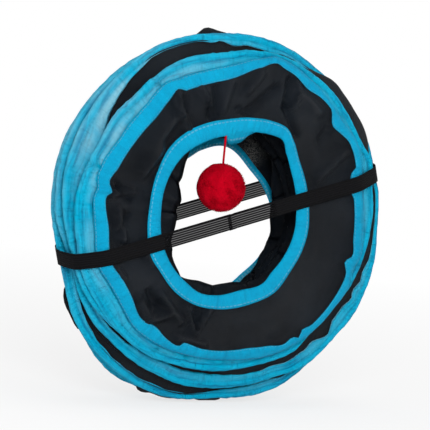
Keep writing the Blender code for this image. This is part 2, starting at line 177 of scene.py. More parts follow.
TURN_4_RIDGE = (
    (0, 151), (18, 148.5), (45, 148), (90, 149), (120, 155), (145, 156), (160, 156), (176, 151),
    (190, 146.5), (198, 146), (212, 148), (233, 151), (250, 153), (270, 152.5), (290, 153), (315, 152),
)
REAR_RIDGE = (
    (0, 143.5), (60, 142), (120, 142), (170, 142), (188, 138.5), (196, 137.5), (204, 138.5), (222, 142),
    (231, 144.5), (240, 145), (250, 142.5), (270, 141.5), (300, 141.5),
)
REAR_BINDING_INNER = (
    (0, 73), (30, 70.5), (50, 68.5), (75, 73), (96, 66), (108, 61), (140, 62), (180, 64), (230, 62),
    (280, 60), (319, 59), (344, 67),
)

# How deep each sleeve's front hem lies below its ridge, in millimetres
TURN_2_DEPTH = (
    (0, 6), (30, 6), (55, 6), (61, 5.6), (68, 7), (75, 8), (82, 10), (89, 9), (94, 10), (98, 6.5),
    (101, 7.5), (104, 5.8), (111, 5.5), (123, 5.5), (128, 8), (131, 9), (136, 11), (139, 12), (143, 14),
    (148, 18), (153, 23), (160, 24), (168, 21), (180, 18), (200, 13), (212, 9.5), (225, 7.5), (236, 10),
    (245, 12), (264, 13), (284, 11), (300, 11.5), (306, 13.5), (314, 15.5), (320, 9), (326, 15.5),
    (331, 16), (335, 12.5), (338, 15), (342, 11), (345, 12), (349, 9), (354, 7),
)
TURN_3_DEPTH = (
    (0, 9), (90, 10), (170, 12), (198, 8), (209, 5.6), (218, 6), (231, 5.6), (238, 6.5), (252, 6.5),
    (266, 5.5), (279, 8.5), (293, 11), (305, 7),
)
EVEN_DEPTH = ((0, 11), (120, 12), (240, 11))
DEPTHS = (EVEN_DEPTH, TURN_2_DEPTH, TURN_3_DEPTH, EVEN_DEPTH, EVEN_DEPTH)

# How far the black cloth between the turns stands out between their hems, in millimetres
BULGES = (
    (
        (0, -2), (10, -1), (17, 1.5), (24, 5), (29, 9.5), (34, 11), (41, 11), (49, 11), (55, 9.5), (60, 6),
        (66, 0), (70, -3), (75, -4), (120, -5), (180, -6), (300, -6),
    ),
    ((0, -6), (87, -4), (92, 8), (97, 14), (101, 17), (104, 13), (107, 8), (112, -5), (200, -6), (300, -5)),
    (
        (0, -6), (100, -6), (198, -5), (203, 10), (207, 14), (213, 13), (219, 11), (223, -4), (243, -5),
        (247, 10), (250, 13), (253, 11), (262, 11), (265, -4), (269, 10), (273, 12), (279, 11), (284, -5),
    ),
    ((0, -6), (200, -6), (300, -6)),
)

# Noses of the inward folds, section by section from the front
NOSE_CENTRES = ((-8, 161), (-5, 157), (-1, 152), (2, 147))
NOSES = (
    (
        (0, 76), (45, 82), (90, 80), (115, 69), (133, 55.5), (150, 47.5), (168, 41.5), (190, 43), (205, 48),
        (225, 58), (241, 62), (256, 60), (286, 61), (300, 66), (323, 74), (345, 76),
    ),
    ((0, 74), (45, 78), (90, 82), (150, 62), (190, 58), (230, 66), (270, 66), (300, 68), (330, 70)),
    ((0, 72), (45, 76), (90, 82), (150, 66), (200, 62), (240, 68), (280, 68), (310, 64), (335, 66)),
    (
        (0, 62), (15, 63), (28, 68), (45, 80), (65, 86), (78, 84), (90, 82), (150, 68), (200, 66), (240, 68),
        (280, 64), (315, 60), (335, 60), (348, 61),
    ),
)
FOLD_DEPTH = 0.013
FOLD_CLEAR = 0.003
FOLD_BELLY = 0.003
FOLD_PARTS = (0, 0.35, 0.7, 0.93)
FOLD_SHIFT = 7
NOSE_PUFF = 0.0018
FOLD_INSET = 0.021

# How far the climbs draw in on their way, in metres
WAISTS = (0, 0.0065, 0.0015, 0)

# Elastic band: places along its line and along the axis, in millimetres, from the opening's centre
BAND_WIDTH = 0.013
BAND_WALL = 0.0009
BAND_STEP = 0.003
BAND_SLOPE = math.radians(16.5)
BAND_DROP = 0.0065
BAND_RIBS = 7
BAND_KNIT = 0.0011
BAND_OPEN_HALF = 0.42
BAND_LIGHT_THROUGH = 0.42
BAND_LEFT = (
    (2, -29.4), (-50, -29.4), (-102, -29.4), (-112, -29.1), (-120, -26.4), (-134.5, -15), (-136.8, -9),
    (-137.5, -2.5), (-137.5, 9), (-136.5, 18), (-133, 25), (-130, 31), (-120, 40.5), (-110, 45.6),
    (-50, 45.6),
)
BAND_CLEAR = ((-60, 44), (-60, 90))
BAND_RIGHT = (
    (134, 45.6), (144.5, 41.5), (155, 31.5), (160, 21), (161.8, 9), (161.8, -1), (159.5, -8), (154, -15.5),
    (139, -24), (130, -28.2), (120, -29.3), (108, -29.4), (50, -29.4), (6, -29.5), (3, -30.4),
    (-1.5, -30.5),
)

# Creases of the front panel: a line's two ends from the opening's centre, half width, height in millimetres
CREASES = (
    (-59, 97, -55, 81, 3.5, 1.8), (-55, 81, -42, 66, 4, 1.8), (-51, 95, -49, 82, 2.5, -1.4),
    (-38, 102, -27, 89, 3, 1.6), (-27, 89, -23, 73, 2.5, -1.7), (-23, 103, -19, 83, 2.5, -1.5),
    (-62, 74, -79, 49, 6, 2.6), (-70, 50, -84, 31, 5, 2.2), (-110, 12, -92, 16, 2.5, 1.8),
    (-106, 19, -93, 8, 2.5, -1.6), (-103, -2, -96, -24, 4, 2.2), (-94, -4, -100, -18, 2.5, -1.6),
    (-67, -66, -60, -77, 3, -2), (-57, -68, -36, -90, 3.5, 2), (-67, -91, -48, -85, 3, 2),
    (-76, -73, -67, -86, 4, 2.2), (-19, -99, -32, -79, 2.2, 1.4), (-19, -99, -21, -78, 2, -1.4),
    (-19, -99, -7, -78, 2.2, 1.4), (48, 115, 47, 90, 3, -1.8), (47, 90, 58, 69, 3, -1.6),
    (54, 112, 54, 92, 3.5, 1.3), (35, 106, 11, 85, 4, -1.8), (19, 116, 7, 101, 3, 1.4),
    (1, 86, 14, 80, 3, -1.3), (-10, 106, -14, 85, 4, 1.1), (110, 56, 83, 33, 3, 1.5),
    (57, 105, 77, 88, 5, 1.3), (95, 82, 84, 65, 4, -1.2), (-99, -47, -93, -55, 3, 1.5),
    (-74, -32, -68, -42, 3, 1.4), (-10, -109, -35, -103, 3, 1.3),
)
CREASING = 2.8

# Pinches of the front sleeve: a ridge's angle at the tape, at the wire, its half width and its height
PINCHES = (
    (173, 160, 1.6, 5), (120, 130, 1.6, 3.2), (146, 138, 1.8, 2.4), (203, 196, 1.6, 2.6),
    (238, 248, 1.6, 3.6), (253, 261, 1.6, 4), (276, 270, 1.8, 2.4), (309, 302, 1.6, 3),
    (343, 334, 1.6, 3.6), (20, 27, 1.6, 2.6), (44, 38, 1.8, 2.4), (76, 85, 1.8, 2.6), (98, 91, 2, 2),
)
# How much a pinch's lift dims the painted light coming through the cloth: one whole tone for this lift in
# metres
PINCH_TINT = 0.004

# Where the front binding's back layer hangs into the opening: its angle and half width
FLAP_ANGLE = 87
FLAP_HALF = 11.5

# Laps of the front's binding and tape, as angles, each painted as a narrow dark line of shade
BINDING_LAP = 267
TAPE_LAP = 275
LAP_HALF = 0.8

# Cuts through the flat pieces of the ends: shares of their width with levels from the face
PANEL_LAP = 0.003
TAPE_CUTS = ((0, -0.0007), (0.15, -0.001), (0.5, -0.0005), (0.85, 0.0022), (1, 0.0042))
BINDING_CUTS = (
    (1, -0.0008), (0.8, -0.0014), (0.4, -0.0015), (0.1, -0.0013), (0, -0.0004), (0.1, 0.0009), (0.9, 0.0009),
)
FLAP_CUTS = ((-0.42, 0.0026), (-0.85, 0.0056))
REAR_TAPE_CUTS = ((0, 0.0009), (0.15, 0.0012), (0.5, 0.0004), (0.85, -0.0024), (1, -0.0042))
REAR_BINDING_CUTS = (
    (1, 0.0008), (0.8, 0.0012), (0.4, 0.0012), (0.1, 0.0011), (0, 0.0004), (0.1, -0.0009), (0.9, -0.0009),
)
REAR_EDGE = 0.126
REAR_SLEEVE_EDGE = 0.1315
REAR_TAPE_OUTER = 0.1335
REAR_BINDING_WIDTH = 0.0115
REAR_TURNED_BY = 0.006

# Pom-pom, its knot and its string, as the solids place them
KNOT = Vector((-0.01994, -0.0261, 0.23004))
STRING_DROP = 0.0458
STRING_WIDTH = 0.0018
POMPOM_RADIUS = 0.0205
CORE_RADIUS = POMPOM_RADIUS - 0.0012
TACK_RADIUS = 0.0013
TUFT_LENGTH = 0.0024
TUFT_WIDTH = 0.0003

# Floor: how much of its own white it shows the camera near the object, and how far out it shows nothing else
FLOOR_GLOW = 0.72
FLOOR_NEAR = 0.25
FLOOR_FAR = 1.1
FLOOR_HALF = 6

# Light: its name, its place, its reach and its power, and the strength of the world's light
LAMPS = (
    ("key", (-0.75, -1.4, 0.7), 0.6, 19),
    ("fill", (2.1, -0.9, 0.7), 1.2, 5),
    ("top", (-0.1, -0.1, 2.2), 1.2, 8),
)
LAMP_TARGET = Vector((0, 0, 0.15))
WORLD_LIGHT = 0.5

# Colours
CYAN = (0, 0.5, 0.78, 1)
# Painted light where light comes through the cloth and on its hem edges; also the tape's stitches
CYAN_LIGHT = (0.27, 0.62, 0.77, 1)
# Painted shade in the cloth's wrinkles, gathers and seams and in the tape's puckers and laps; also the
# tape's darker fibres
CYAN_DARK = (0, 0.27, 0.5, 1)
TAPE = (0, 0.46, 0.76, 1)
TAPE_DARK = (0, 0.39, 0.68, 1)
BLACK = (0.0018, 0.0032, 0.0056, 1)
BLACK_LIGHT = (0.006, 0.0092, 0.014, 1)
# Painted light seen through the loose black cloth
SEEN_THROUGH = (0.18, 0.18, 0.17, 1)
ELASTIC = (0.003, 0.003, 0.0035, 1)
# Painted light between the elastic's ribs
ELASTIC_LIT_GAPS = (0.006, 0.006, 0.007, 1)
RED = (0.45, 0, 0.01, 1)
RED_DARK = (0.36, 0, 0.008, 1)
STEEL = (0.5, 0.5, 0.52, 1)
FLOOR_WHITE = (0.9, 0.9, 0.9, 1)
WHITE = (1, 1, 1, 1)
VINYL = (0.75, 0.76, 0.74, 1)

BODIES = ("front_end", "turn_2", "turn_3", "turn_4", "rear_end")
SLEEVES = ("front_casing", "casing_turn_2", "casing_turn_3", "casing_turn_4", "rear_casing")
MM = 0.001


def reading(table, angle):
    """A table's value at an angle, in metres, on a smooth closed curve through its points."""
    angle %= 360
    count = len(table)
    index = max((i for i in range(count) if table[i][0] <= angle), default=-1)
    places = [table[(index + i) % count] for i in range(-1, 3)]
    start, end = places[1][0], places[2][0]
    share = ((angle - start) % 360) / (((end - start) % 360) or 360)
    a, b, c, d = (value for _, value in places)
    curve = b + share * (c - a) / 2 + share**2 * (a - 2.5 * b + 2 * c - d / 2)
    curve += share**3 * (1.5 * b - 1.5 * c + (d - a) / 2)
    return min(max(curve, min(b, c) - 1), max(b, c) + 1) * MM


def ripple(angle, waves, seed):
    """Smooth noise round a ring, between about -1 and 1."""
    turn = math.radians(angle)
    reach = waves / 4
    return noise.noise(Vector((math.cos(turn) * reach, math.sin(turn) * reach, seed))) * 1.6


def turned(angle, other):
    """How far an angle is from another one, between -180 and 180 degrees."""
    return (angle - other + 180) % 360 - 180


def polar(centre, angle, radius, y):
    """A point at an angle and radius round a centre in millimetres."""
    turn = math.radians(angle)
    return Vector((centre[0] * MM + radius * math.cos(turn), y, centre[1] * MM + radius * math.sin(turn)))


RINGS = (
    (FRONT_HOOP, FRONT_RIDGE), (STACK, TURN_2_RIDGE), (STACK, TURN_3_RIDGE), (STACK, TURN_4_RIDGE),
    (REAR, REAR_RIDGE),
)


def rim(place, angle, out, back):
    """A point by the ridge of the turns, so many pitches back from the front one."""
    first = min(int(place), len(RINGS) - 2)
    share = place - first
    out -= WAISTS[first] * math.sin(math.pi * share)
    pair = RINGS[first : first + 2]
    near, far = (polar(centre, angle, reading(table, angle) + out, 0) for centre, table in pair)
    point = near.lerp(far, share)
    point.y = FIRST_Y + PITCH * place + back
    return point


def angles(start, end, step=ROW_STEP):
    """Angles from start to end, both included."""
    count = max(1, round(abs(end - start) / step))
    return [start + (end - start) * i / count for i in range(count + 1)]


def put_in_scene(name, data):
    """An object of its data."""
    made = bpy.data.objects.new(name, data)
    bpy.context.scene.collection.objects.link(made)
    return made


def mesh_object(name, points, faces):
    """A smooth mesh."""
    made = bpy.data.meshes.new(name)
    made.from_pydata(points, [], faces)
    made.shade_smooth()
    return put_in_scene(name, made)


def grid_faces(count, sides, half):
    """Quads over rows of points, or only those on one side of a square grid's diagonal."""
    faces = []
    for row in range(count - 1):
        for i in range(sides - 1):
            here = row * sides + i
            quad = (here, here + sides, here + sides + 1, here + 1)
            side = row + i - (sides - 2)
            if half == 0 or side * half > 0:
                faces.append(quad)
            elif side == 0:
                faces.append((quad[0], quad[1], quad[3]) if half < 0 else (quad[1], quad[2], quad[3]))
    return faces


def runs_along(points):
    """How far along its line each point lies."""
    runs = [0]
    for before, after in zip(points, points[1:]):
        runs.append(runs[-1] + (after - before).length)
    return runs


def sheet_object(name, rows, tones=None, wall=CLOTH, half=0):
    """A sheet over rows of points, and its run. Its maps hold the run, and the share or width across."""
    count, sides = len(rows), len(rows[0])
    points = [point for row in rows for point in row]
    grid = grid_faces(count, sides, half)
    corners = [corner for face in grid for corner in face]
    closed = all((first - last).length < SAME_POINT for first, last in zip(rows[0], rows[-1]))
    ring = (count - 1) * sides if closed else len(points)
    used = sorted({corner % ring for corner in corners})
    place = {corner: i for i, corner in enumerate(used)}
    faces = [[place[corner % ring] for corner in face] for face in grid]
    thing = mesh_object(name, [points[i] for i in used], faces)
    made = thing.data
    runs = runs_along([row[sides // 2] for row in rows])
    widths = [runs_along(row) for row in rows]
    share_map = made.uv_layers.new(name="share")
    weave_map = made.uv_layers.new(name="weave")
    for loop, corner in enumerate(corners):
        row, i = divmod(corner, sides)
        share_map.data[loop].uv = (runs[row], i / (sides - 1))
        weave_map.data[loop].uv = (runs[row], widths[row][i])
    # The tone holds painted light coming through cloth, painted shade at laps, and where the band crosses
    # the opening
    tone = made.attributes.new("tone", "FLOAT", "POINT")
    values = [0] * len(points) if tones is None else [value for row in tones for value in row]
    tone.data.foreach_set("value", [values[i] for i in used])
    if wall:
        thicken = thing.modifiers.new("wall", "SOLIDIFY")
        thicken.thickness = wall
        thicken.offset = 0
    return thing, runs[-1]


class Graph:
    """The nodes of a material, or of the world."""

    def __init__(self, made, shader):
        made.use_nodes = True
        self.made = made
        self.tree = made.node_tree
        self.shader = self.tree.nodes[shader]

    def put(self, socket, value):
        if isinstance(value, bpy.types.NodeSocket):
            self.tree.links.new(value, socket)
        else:
            socket.default_value = value

    def feed(self, node, **values):
        for key, value in values.items():
            self.put(node.inputs[key.replace("_", " ")], value)
        return node

    def node(self, kind, settings=(), **values):
        made = self.tree.nodes.new(kind)
        for key, value in dict(settings).items():
            setattr(made, key, value)
        return self.feed(made, **values)

    def math(self, operation, first, second=0.0):
        made = self.node("ShaderNodeMath", {"operation": operation})
        self.put(made.inputs[0], first)
        self.put(made.inputs[1], second)
        return made.outputs[0]

    def times(self, first, second):
        return self.math("MULTIPLY", first, second)

    def mix(self, factor, first, second):
        made = self.node("ShaderNodeMix", {"data_type": "RGBA"})
        self.put(made.inputs["Factor"], factor)
        self.put(made.inputs[6], first)
        self.put(made.inputs[7], second)
        return made.outputs[2]

    def tint(self, base, mask, share, colour):
        """A share of a colour over another one, where the mask is."""
        return self.mix(self.times(mask, share), base, colour)

    def split(self, layer):
        source = self.node("ShaderNodeUVMap", {"uv_map": layer}).outputs[0]
        made = self.node("ShaderNodeSeparateXYZ", Vector=source)
        return made.outputs["X"], made.outputs["Y"]

    # The tone: painted light and shade on cloth, and where the band lets light through
    def tone(self):
        return self.node("ShaderNodeAttribute", {"attribute_name": "tone"}).outputs["Fac"]

    def noise(self, place, scale, stretch, detail):
        place = self.node("ShaderNodeMapping", Vector=place, Scale=stretch).outputs[0]
        return self.node("ShaderNodeTexNoise", Vector=place, Scale=scale, Detail=detail).outputs["Fac"]

    def clouds(self, scale, detail=3.0, stretch=(1, 1, 1)):
        """Noise in metres."""
        return self.noise(self.node("ShaderNodeTexCoord").outputs["Object"], scale, stretch, detail)

    def crimps(self, along, across, detail=2.0):
        """Noise in the cloth's own directions, so many waves to the metre."""
        place = self.node("ShaderNodeUVMap", {"uv_map": "weave"}).outputs[0]
        return self.noise(place, 1.0, (along, across, 1), detail)

    def ramp(self, value, low, high):
        return self.node("ShaderNodeMapRange", Value=value, From_Min=low, From_Max=high).outputs[0]

    def weave(self, thread):
        """Height of a plain weave of threads so far apart."""
        run, across = self.split("weave")
        rate = math.tau / thread
        warp = self.math("SINE", self.times(run, rate))
        weft = self.math("SINE", self.times(across, rate))
        return self.times(warp, weft)

    def stitches(self, lines, pitch, half):
        """A mask of stitched lines at shares across."""
        run, share = self.split("share")
        dash = self.math("LESS_THAN", self.math("FRACT", self.math("DIVIDE", run, pitch)), STITCH_SHARE)
        found = None
        for line in lines:
            near = self.math("ABSOLUTE", self.math("SUBTRACT", share, line))
            mask = self.times(self.math("LESS_THAN", near, half), dash)
            found = mask if found is None else self.math("MAXIMUM", found, mask)
        return found

    def bump(self, *layers):
        """Bumps on bumps: pairs of a height and a distance in metres."""
        normal = None
        for height, distance in layers:
            made = self.node("ShaderNodeBump", Height=height, Distance=distance)
            if normal is not None:
                self.feed(made, Normal=normal)
            normal = made.outputs[0]
        self.feed(self.shader, Normal=normal)

    def colour(self, value):
        self.feed(self.shader, Base_Color=value)
        return self.made

    def shown(self):
        """One where a ray from the camera, a reflection or a clear piece meets the surface."""
        ray = self.node("ShaderNodeLightPath")
        found = ray.outputs["Is Camera Ray"]
        for kind in ("Is Glossy Ray", "Is Transmission Ray"):
            found = self.math("MAXIMUM", found, ray.outputs[kind])
        return found

    def show(self, factor, shader, output):
        """Show another shader by a factor."""
        made = self.node("ShaderNodeMixShader")
        for socket, value in zip(made.inputs, (factor, self.shader.outputs[0], shader.outputs[0])):
            self.put(socket, value)
        self.put(self.tree.nodes[output].inputs["Surface"], made.outputs[0])


def material(name, rough, **fixed):
    """A new material's nodes, with its constant values."""
    graph = Graph(bpy.data.materials.new(name), "Principled BSDF")
    graph.feed(graph.shader, Roughness=rough, **fixed)
    return graph


def thin_cyan():
    """Thin woven nylon, with painted light where light comes through its single layer, painted shade along
    its wrinkles, gathers and stitched seams, and painted highlights on its hem edges.
    """
    graph = material("thin_cyan", 0.6, Specular_IOR_Level=0.04)
    clouds = graph.clouds(34, detail=4.0)
    wrinkles_and_shade = graph.crimps(along=24, across=300, detail=4.0)
    gathers_and_shade = graph.crimps(along=190, across=40, detail=4.0)
    # Painted light coming through the cloth, broken up by clouds
    painted_light = graph.times(graph.tone(), graph.ramp(clouds, 0.3, 0.62))
    # Painted shade: darker in the hollows of the wrinkles and along the gathers
    base = graph.mix(graph.ramp(wrinkles_and_shade, 0.32, 0.52), CYAN_DARK, CYAN)
    base = graph.tint(base, graph.ramp(gathers_and_shade, 0.5, 0.72), 0.32, CYAN_DARK)
    # Stitched lines darkened as painted seam shade, and painted highlights along the hem edges
    stitched = graph.stitches((0.26, 0.74), pitch=0.0034, half=0.012)
    hem_highlights = graph.stitches((0.07, 0.93), pitch=1.0, half=0.018)
    tinted = graph.mix(painted_light, base, CYAN_LIGHT)
    tinted = graph.tint(tinted, hem_highlights, 0.65, CYAN_LIGHT)
    tinted = graph.tint(tinted, stitched, 0.2, CYAN_DARK)
    weave = graph.weave(0.0005)
    graph.bump((clouds, 0.004), (gathers_and_shade, 0.0055), (wrinkles_and_shade, 0.0018), (weave, 0.00012), (stitched, -0.0004))
    return graph.colour(tinted)


def woven_tape():
    """Firm woven tape with a stitched line by each edge, painted shade along its puckers and a dark line of
    painted shade at its laps.
    """
    graph = material("woven_tape", 0.7, Specular_IOR_Level=0.12)
    clouds = graph.clouds(60, detail=4.0)
    fibres = graph.clouds(900, detail=2.0, stretch=(1, 0.4, 1))
    puckers_and_shade = graph.crimps(along=230, across=60)
    stitched = graph.stitches((0.14, 0.86), pitch=0.0032, half=0.028)
    base = graph.mix(graph.ramp(clouds, 0.3, 0.7), TAPE_DARK, TAPE)
    base = graph.tint(base, graph.ramp(fibres, 0.35, 0.7), 0.35, CYAN_DARK)
    tinted = graph.tint(base, stitched, 0.45, CYAN_LIGHT)
    # Painted shade: a dark line where the tone marks a lap, and darker along the puckers
    tinted = graph.tint(tinted, graph.tone(), 0.7, CYAN_DARK)
    tinted = graph.tint(tinted, graph.ramp(puckers_and_shade, 0.5, 0.8), 0.3, CYAN_DARK)
    weave = graph.weave(0.0007)
    graph.bump((clouds, 0.0012), (puckers_and_shade, 0.0028), (weave, 0.00018), (fibres, 0.0002), (stitched, -0.0005))
    return graph.colour(tinted)


def black_nylon():
    """Black lining cloth with a satin sheen and fine wrinkles. Where its tone is set, painted light shows
    grey through its loose threads.
    """
    graph = material("black_nylon", 0.3, Specular_IOR_Level=0.16)
    clouds = graph.clouds(22, detail=4.0)
    creases = graph.clouds(70, stretch=(1, 1, 0.6))
    threads = graph.clouds(1100, detail=1.0)
    base = graph.mix(graph.ramp(clouds, 0.35, 0.7), BLACK, BLACK_LIGHT)
    seen_light = graph.times(graph.tone(), graph.ramp(threads, 0.45, 0.6))
    graph.bump((clouds, 0.006), (creases, 0.0016), (graph.weave(0.0006), 0.00012))
    return graph.colour(graph.mix(seen_light, base, SEEN_THROUGH))


def knitted_elastic():
    """Black knitted elastic, whose ribs let some light through between firm edges."""
    graph = material("knitted_elastic", 0.85, Specular_IOR_Level=0.07)
    run, share = graph.split("share")
    ribs = graph.math("SINE", graph.times(share, math.tau * BAND_RIBS))
    knit = graph.math("SINE", graph.times(run, math.tau / BAND_KNIT))
    height = graph.math("ADD", ribs, graph.times(knit, 0.3))
    # Painted light: lighter between the ribs, where light shows through the knit
    base = graph.mix(graph.ramp(height, -0.2, 1.2), ELASTIC_LIT_GAPS, ELASTIC)
    away = graph.math("ABSOLUTE", graph.math("SUBTRACT", share, 0.5))
    open_knit = graph.times(graph.ramp(ribs, 0.5, -0.8), graph.math("LESS_THAN", away, BAND_OPEN_HALF))
    light = graph.times(graph.times(open_knit, graph.tone()), BAND_LIGHT_THROUGH)
    graph.feed(graph.shader, Alpha=graph.math("SUBTRACT", 1.0, light))
    graph.bump((height, 0.0003))
    return graph.colour(base)


def red_yarn():
    """Fluffy red yarn."""
    graph = material("red_yarn", 1.0, Specular_IOR_Level=0.05)
    fibres = graph.clouds(700)
    clumps = graph.clouds(320)
    base = graph.mix(graph.ramp(clumps, 0.2, 0.6), RED_DARK, RED)
    graph.bump((clumps, 0.0005), (fibres, 0.0005))
    return graph.colour(graph.tint(base, fibres, 0.3, RED_DARK))


def drawn_wire():
    """Drawn spring wire."""
    graph = material("drawn_wire", 0.35, Metallic=1.0)
    marks = graph.clouds(900, detail=2.0, stretch=(1, 1, 0.2))
    graph.feed(graph.shader, Roughness=graph.math("ADD", graph.times(marks, 0.2), 0.25))
    graph.bump((marks, 0.0001))
    return graph.colour(graph.mix(graph.ramp(marks, 0.3, 0.7), STEEL, VINYL))


def clear_vinyl():
    """Soft clear vinyl."""
    graph = material("clear_vinyl", 0.3, Coat_Weight=0.3)
    haze = graph.clouds(300, detail=2.0)
    graph.bump((haze, 0.0001))
    return graph.colour(graph.mix(graph.ramp(haze, 0.3, 0.7), VINYL, STEEL))


LOOKS = {
    "cyan_cloth": thin_cyan(),
    "cyan_tape": woven_tape(),
    "black_cloth": black_nylon(),
    "black_elastic": knitted_elastic(),
    "red_yarn": red_yarn(),
    "spring_steel": drawn_wire(),
    "clear_vinyl": clear_vinyl(),
}


def dress(thing, slot, node):
    """Give a piece the material of its slot, and hide the solid of the node that it stands for."""
    thing.data.materials.append(LOOKS[slot])
    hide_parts(node)
    return thing


def cloth(name, rows, slot, node, held, tones=None, wall=CLOTH, half=0):
    """A piece of cloth over its rows, with the material of its slot."""
    made, run = sheet_object(name, rows, tones, wall, half)
    return dress(made, slot, node)


def camera():
    """The camera at the photograph's angle, with the opening's centre where it is there."""
    sin_a, cos_a = math.sin(AZIMUTH), math.cos(AZIMUTH)
    back = Vector((sin_a * math.cos(ELEVATION), -cos_a * math.cos(ELEVATION), math.sin(ELEVATION)))
    level = Vector((cos_a, sin_a, 0))
    upright = back.cross(level)
    right = level * math.cos(ROLL) + upright * math.sin(ROLL)
    up = upright * math.cos(ROLL) - level * math.sin(ROLL)
    place = polar(FRONT, 0, 0, FACE_Y) + back * DISTANCE
    place -= right * ((OPENING_PIXEL[0] - IMAGE_HALF) * PIXEL)
    place += up * ((OPENING_PIXEL[1] - IMAGE_HALF) * PIXEL)
    made = put_in_scene("camera", bpy.data.cameras.new("camera"))
    made.matrix_world = Matrix.Translation(place) @ Matrix((right, up, back)).transposed().to_4x4()
    made.data.sensor_width = SENSOR
    made.data.lens = SENSOR / 2 * DISTANCE / (IMAGE_HALF * PIXEL)
    bpy.context.scene.camera = made


def string():
    """The limp string of the pom-pom, from the knot into the middle of the ball."""
    drawn = bpy.data.curves.new("pompom_string_cord", "CURVE")
    drawn.dimensions = "3D"
    drawn.bevel_depth = STRING_WIDTH / 2
    drawn.bevel_resolution = 3
    drawn.use_fill_caps = True
    line = drawn.splines.new("POLY")
    line.points.add(STRING_POINTS - 1)
    for i, point in enumerate(line.points):
        point.co = (*(KNOT - Vector((0, 0, STRING_DROP * i / (STRING_POINTS - 1)))), 1)
    made = put_in_scene("pompom_string_cord", drawn)
    dress(made, "red_yarn", "pompom_string")
    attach(made, "pompom_cord")


def lumpy_ball(name, centre, radius, rings, lump, seed):
    """A ball with soft lumps."""
    points, faces = [centre + Vector((0, 0, radius))], []
    sides = 2 * rings
    for ring in range(1, rings):
        down = math.pi * ring / rings
        level = math.sin(down)
        for i in range(sides):
            turn = math.tau * i / sides
            way = Vector((math.cos(turn) * level, math.sin(turn) * level, math.cos(down)))
            points.append(centre + way * (radius + lump * noise.noise(way * 3 + Vector((seed, 0, 0)))))
    points.append(centre - Vector((0, 0, radius)))
    last = len(points) - 1
    for i in range(sides):
        j = (i + 1) % sides
        faces.append((0, 1 + i, 1 + j))
        faces.append((last, last - sides + j, last - sides + i))
        for ring in range(rings - 2):
            here = 1 + ring * sides
            faces.append((here + i, here + sides + i, here + sides + j, here + j))
    return mesh_object(name, points, faces)


def yarn_tufts(name, centre, radius):
    """Short tapered tufts of yarn all over a ball."""
    points, faces = [], []
    golden = math.pi * (3 - math.sqrt(5))
    for i in range(YARN_TUFTS):
        height = 1 - 2 * (i + 0.5) / YARN_TUFTS
        level = math.sqrt(1 - height * height)
        way = Vector((level * math.cos(golden * i), level * math.sin(golden * i), height))
        jitter = Vector([noise.noise(way * 40 + Vector((0, 0, 17 * axis))) for axis in range(3)])
        lean = (way + jitter * 0.9).normalized()
        side = lean.orthogonal().normalized()
        other = lean.cross(side)
        root = centre + way * (radius - TUFT_LENGTH * 0.6)
        reach = TUFT_LENGTH * (1 + 0.35 * jitter.x)
        first = len(points)
        for step, share in ((0, 1.0), (0.6, 0.9)):
            spot = root + lean * (reach * step)
            for turn in range(3):
                spin = math.tau * turn / 3
                points.append(spot + (side * math.cos(spin) + other * math.sin(spin)) * (TUFT_WIDTH * share))
        points.append(root + lean * reach + jitter * (TUFT_WIDTH * 1.5))
        for turn in range(3):
            after = (turn + 1) % 3
            faces.append((first + turn, first + after, first + 3 + after, first + 3 + turn))
            faces.append((first + 3 + turn, first + 3 + after, first + 6))
    return mesh_object(name, points, faces)


def pompom():
    """The yarn ball and the tack that holds its string in the hem."""
    centre = KNOT - Vector((0, 0, STRING_DROP))
    core = lumpy_ball("pompom_core", centre, CORE_RADIUS, CORE_RINGS, lump=0.0016, seed=3)
    tufts = yarn_tufts("pompom_tufts", centre, CORE_RADIUS)
    tack = lumpy_ball("pompom_knot_tack", KNOT, TACK_RADIUS, TACK_RINGS, lump=0.0003, seed=7)
    for made, node, body in (
        (core, "pompom", "pompom_ball"),
        (tufts, "pompom", "pompom_ball"),
        (tack, "pompom_tack", "pompom_knot"),
    ):
        dress(made, "red_yarn", node)
        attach(made, body)


def turn_at(turn, angle):
    """How many pitches back a turn is at an angle of its climb."""
    return turn + (CLIMB_FROM - angle) / (CLIMB_FROM - CLIMB_TO)


def depth_at(place, angle):
    """How deep a sleeve's front hem lies below its ridge, between the turns too."""
    first = min(int(max(place, 0)), len(DEPTHS) - 2)
    share = min(max(place - first, 0), 1)
    return reading(DEPTHS[first], angle) * (1 - share) + reading(DEPTHS[first + 1], angle) * share


def painted_light_through(angle):
    """How much painted light comes through the sleeves' cloth: most on the upper left."""
    return PAINTED_LIGHT_LEAST + (1 - PAINTED_LIGHT_LEAST) * math.exp(-((turned(angle, PAINTED_LIGHT_MIDDLE) / PAINTED_LIGHT_REACH) ** 2))


def pinched(angle, share):
    """How far the front sleeve's pinches lift it, so far across from the tape to the wire."""
    lift = 0
    for at_tape, at_wire, width, height in PINCHES:
        away = turned(angle - at_tape, (at_wire - at_tape) * share)
        lift += height * MM * math.exp(-((away / width) ** 2))
    return lift


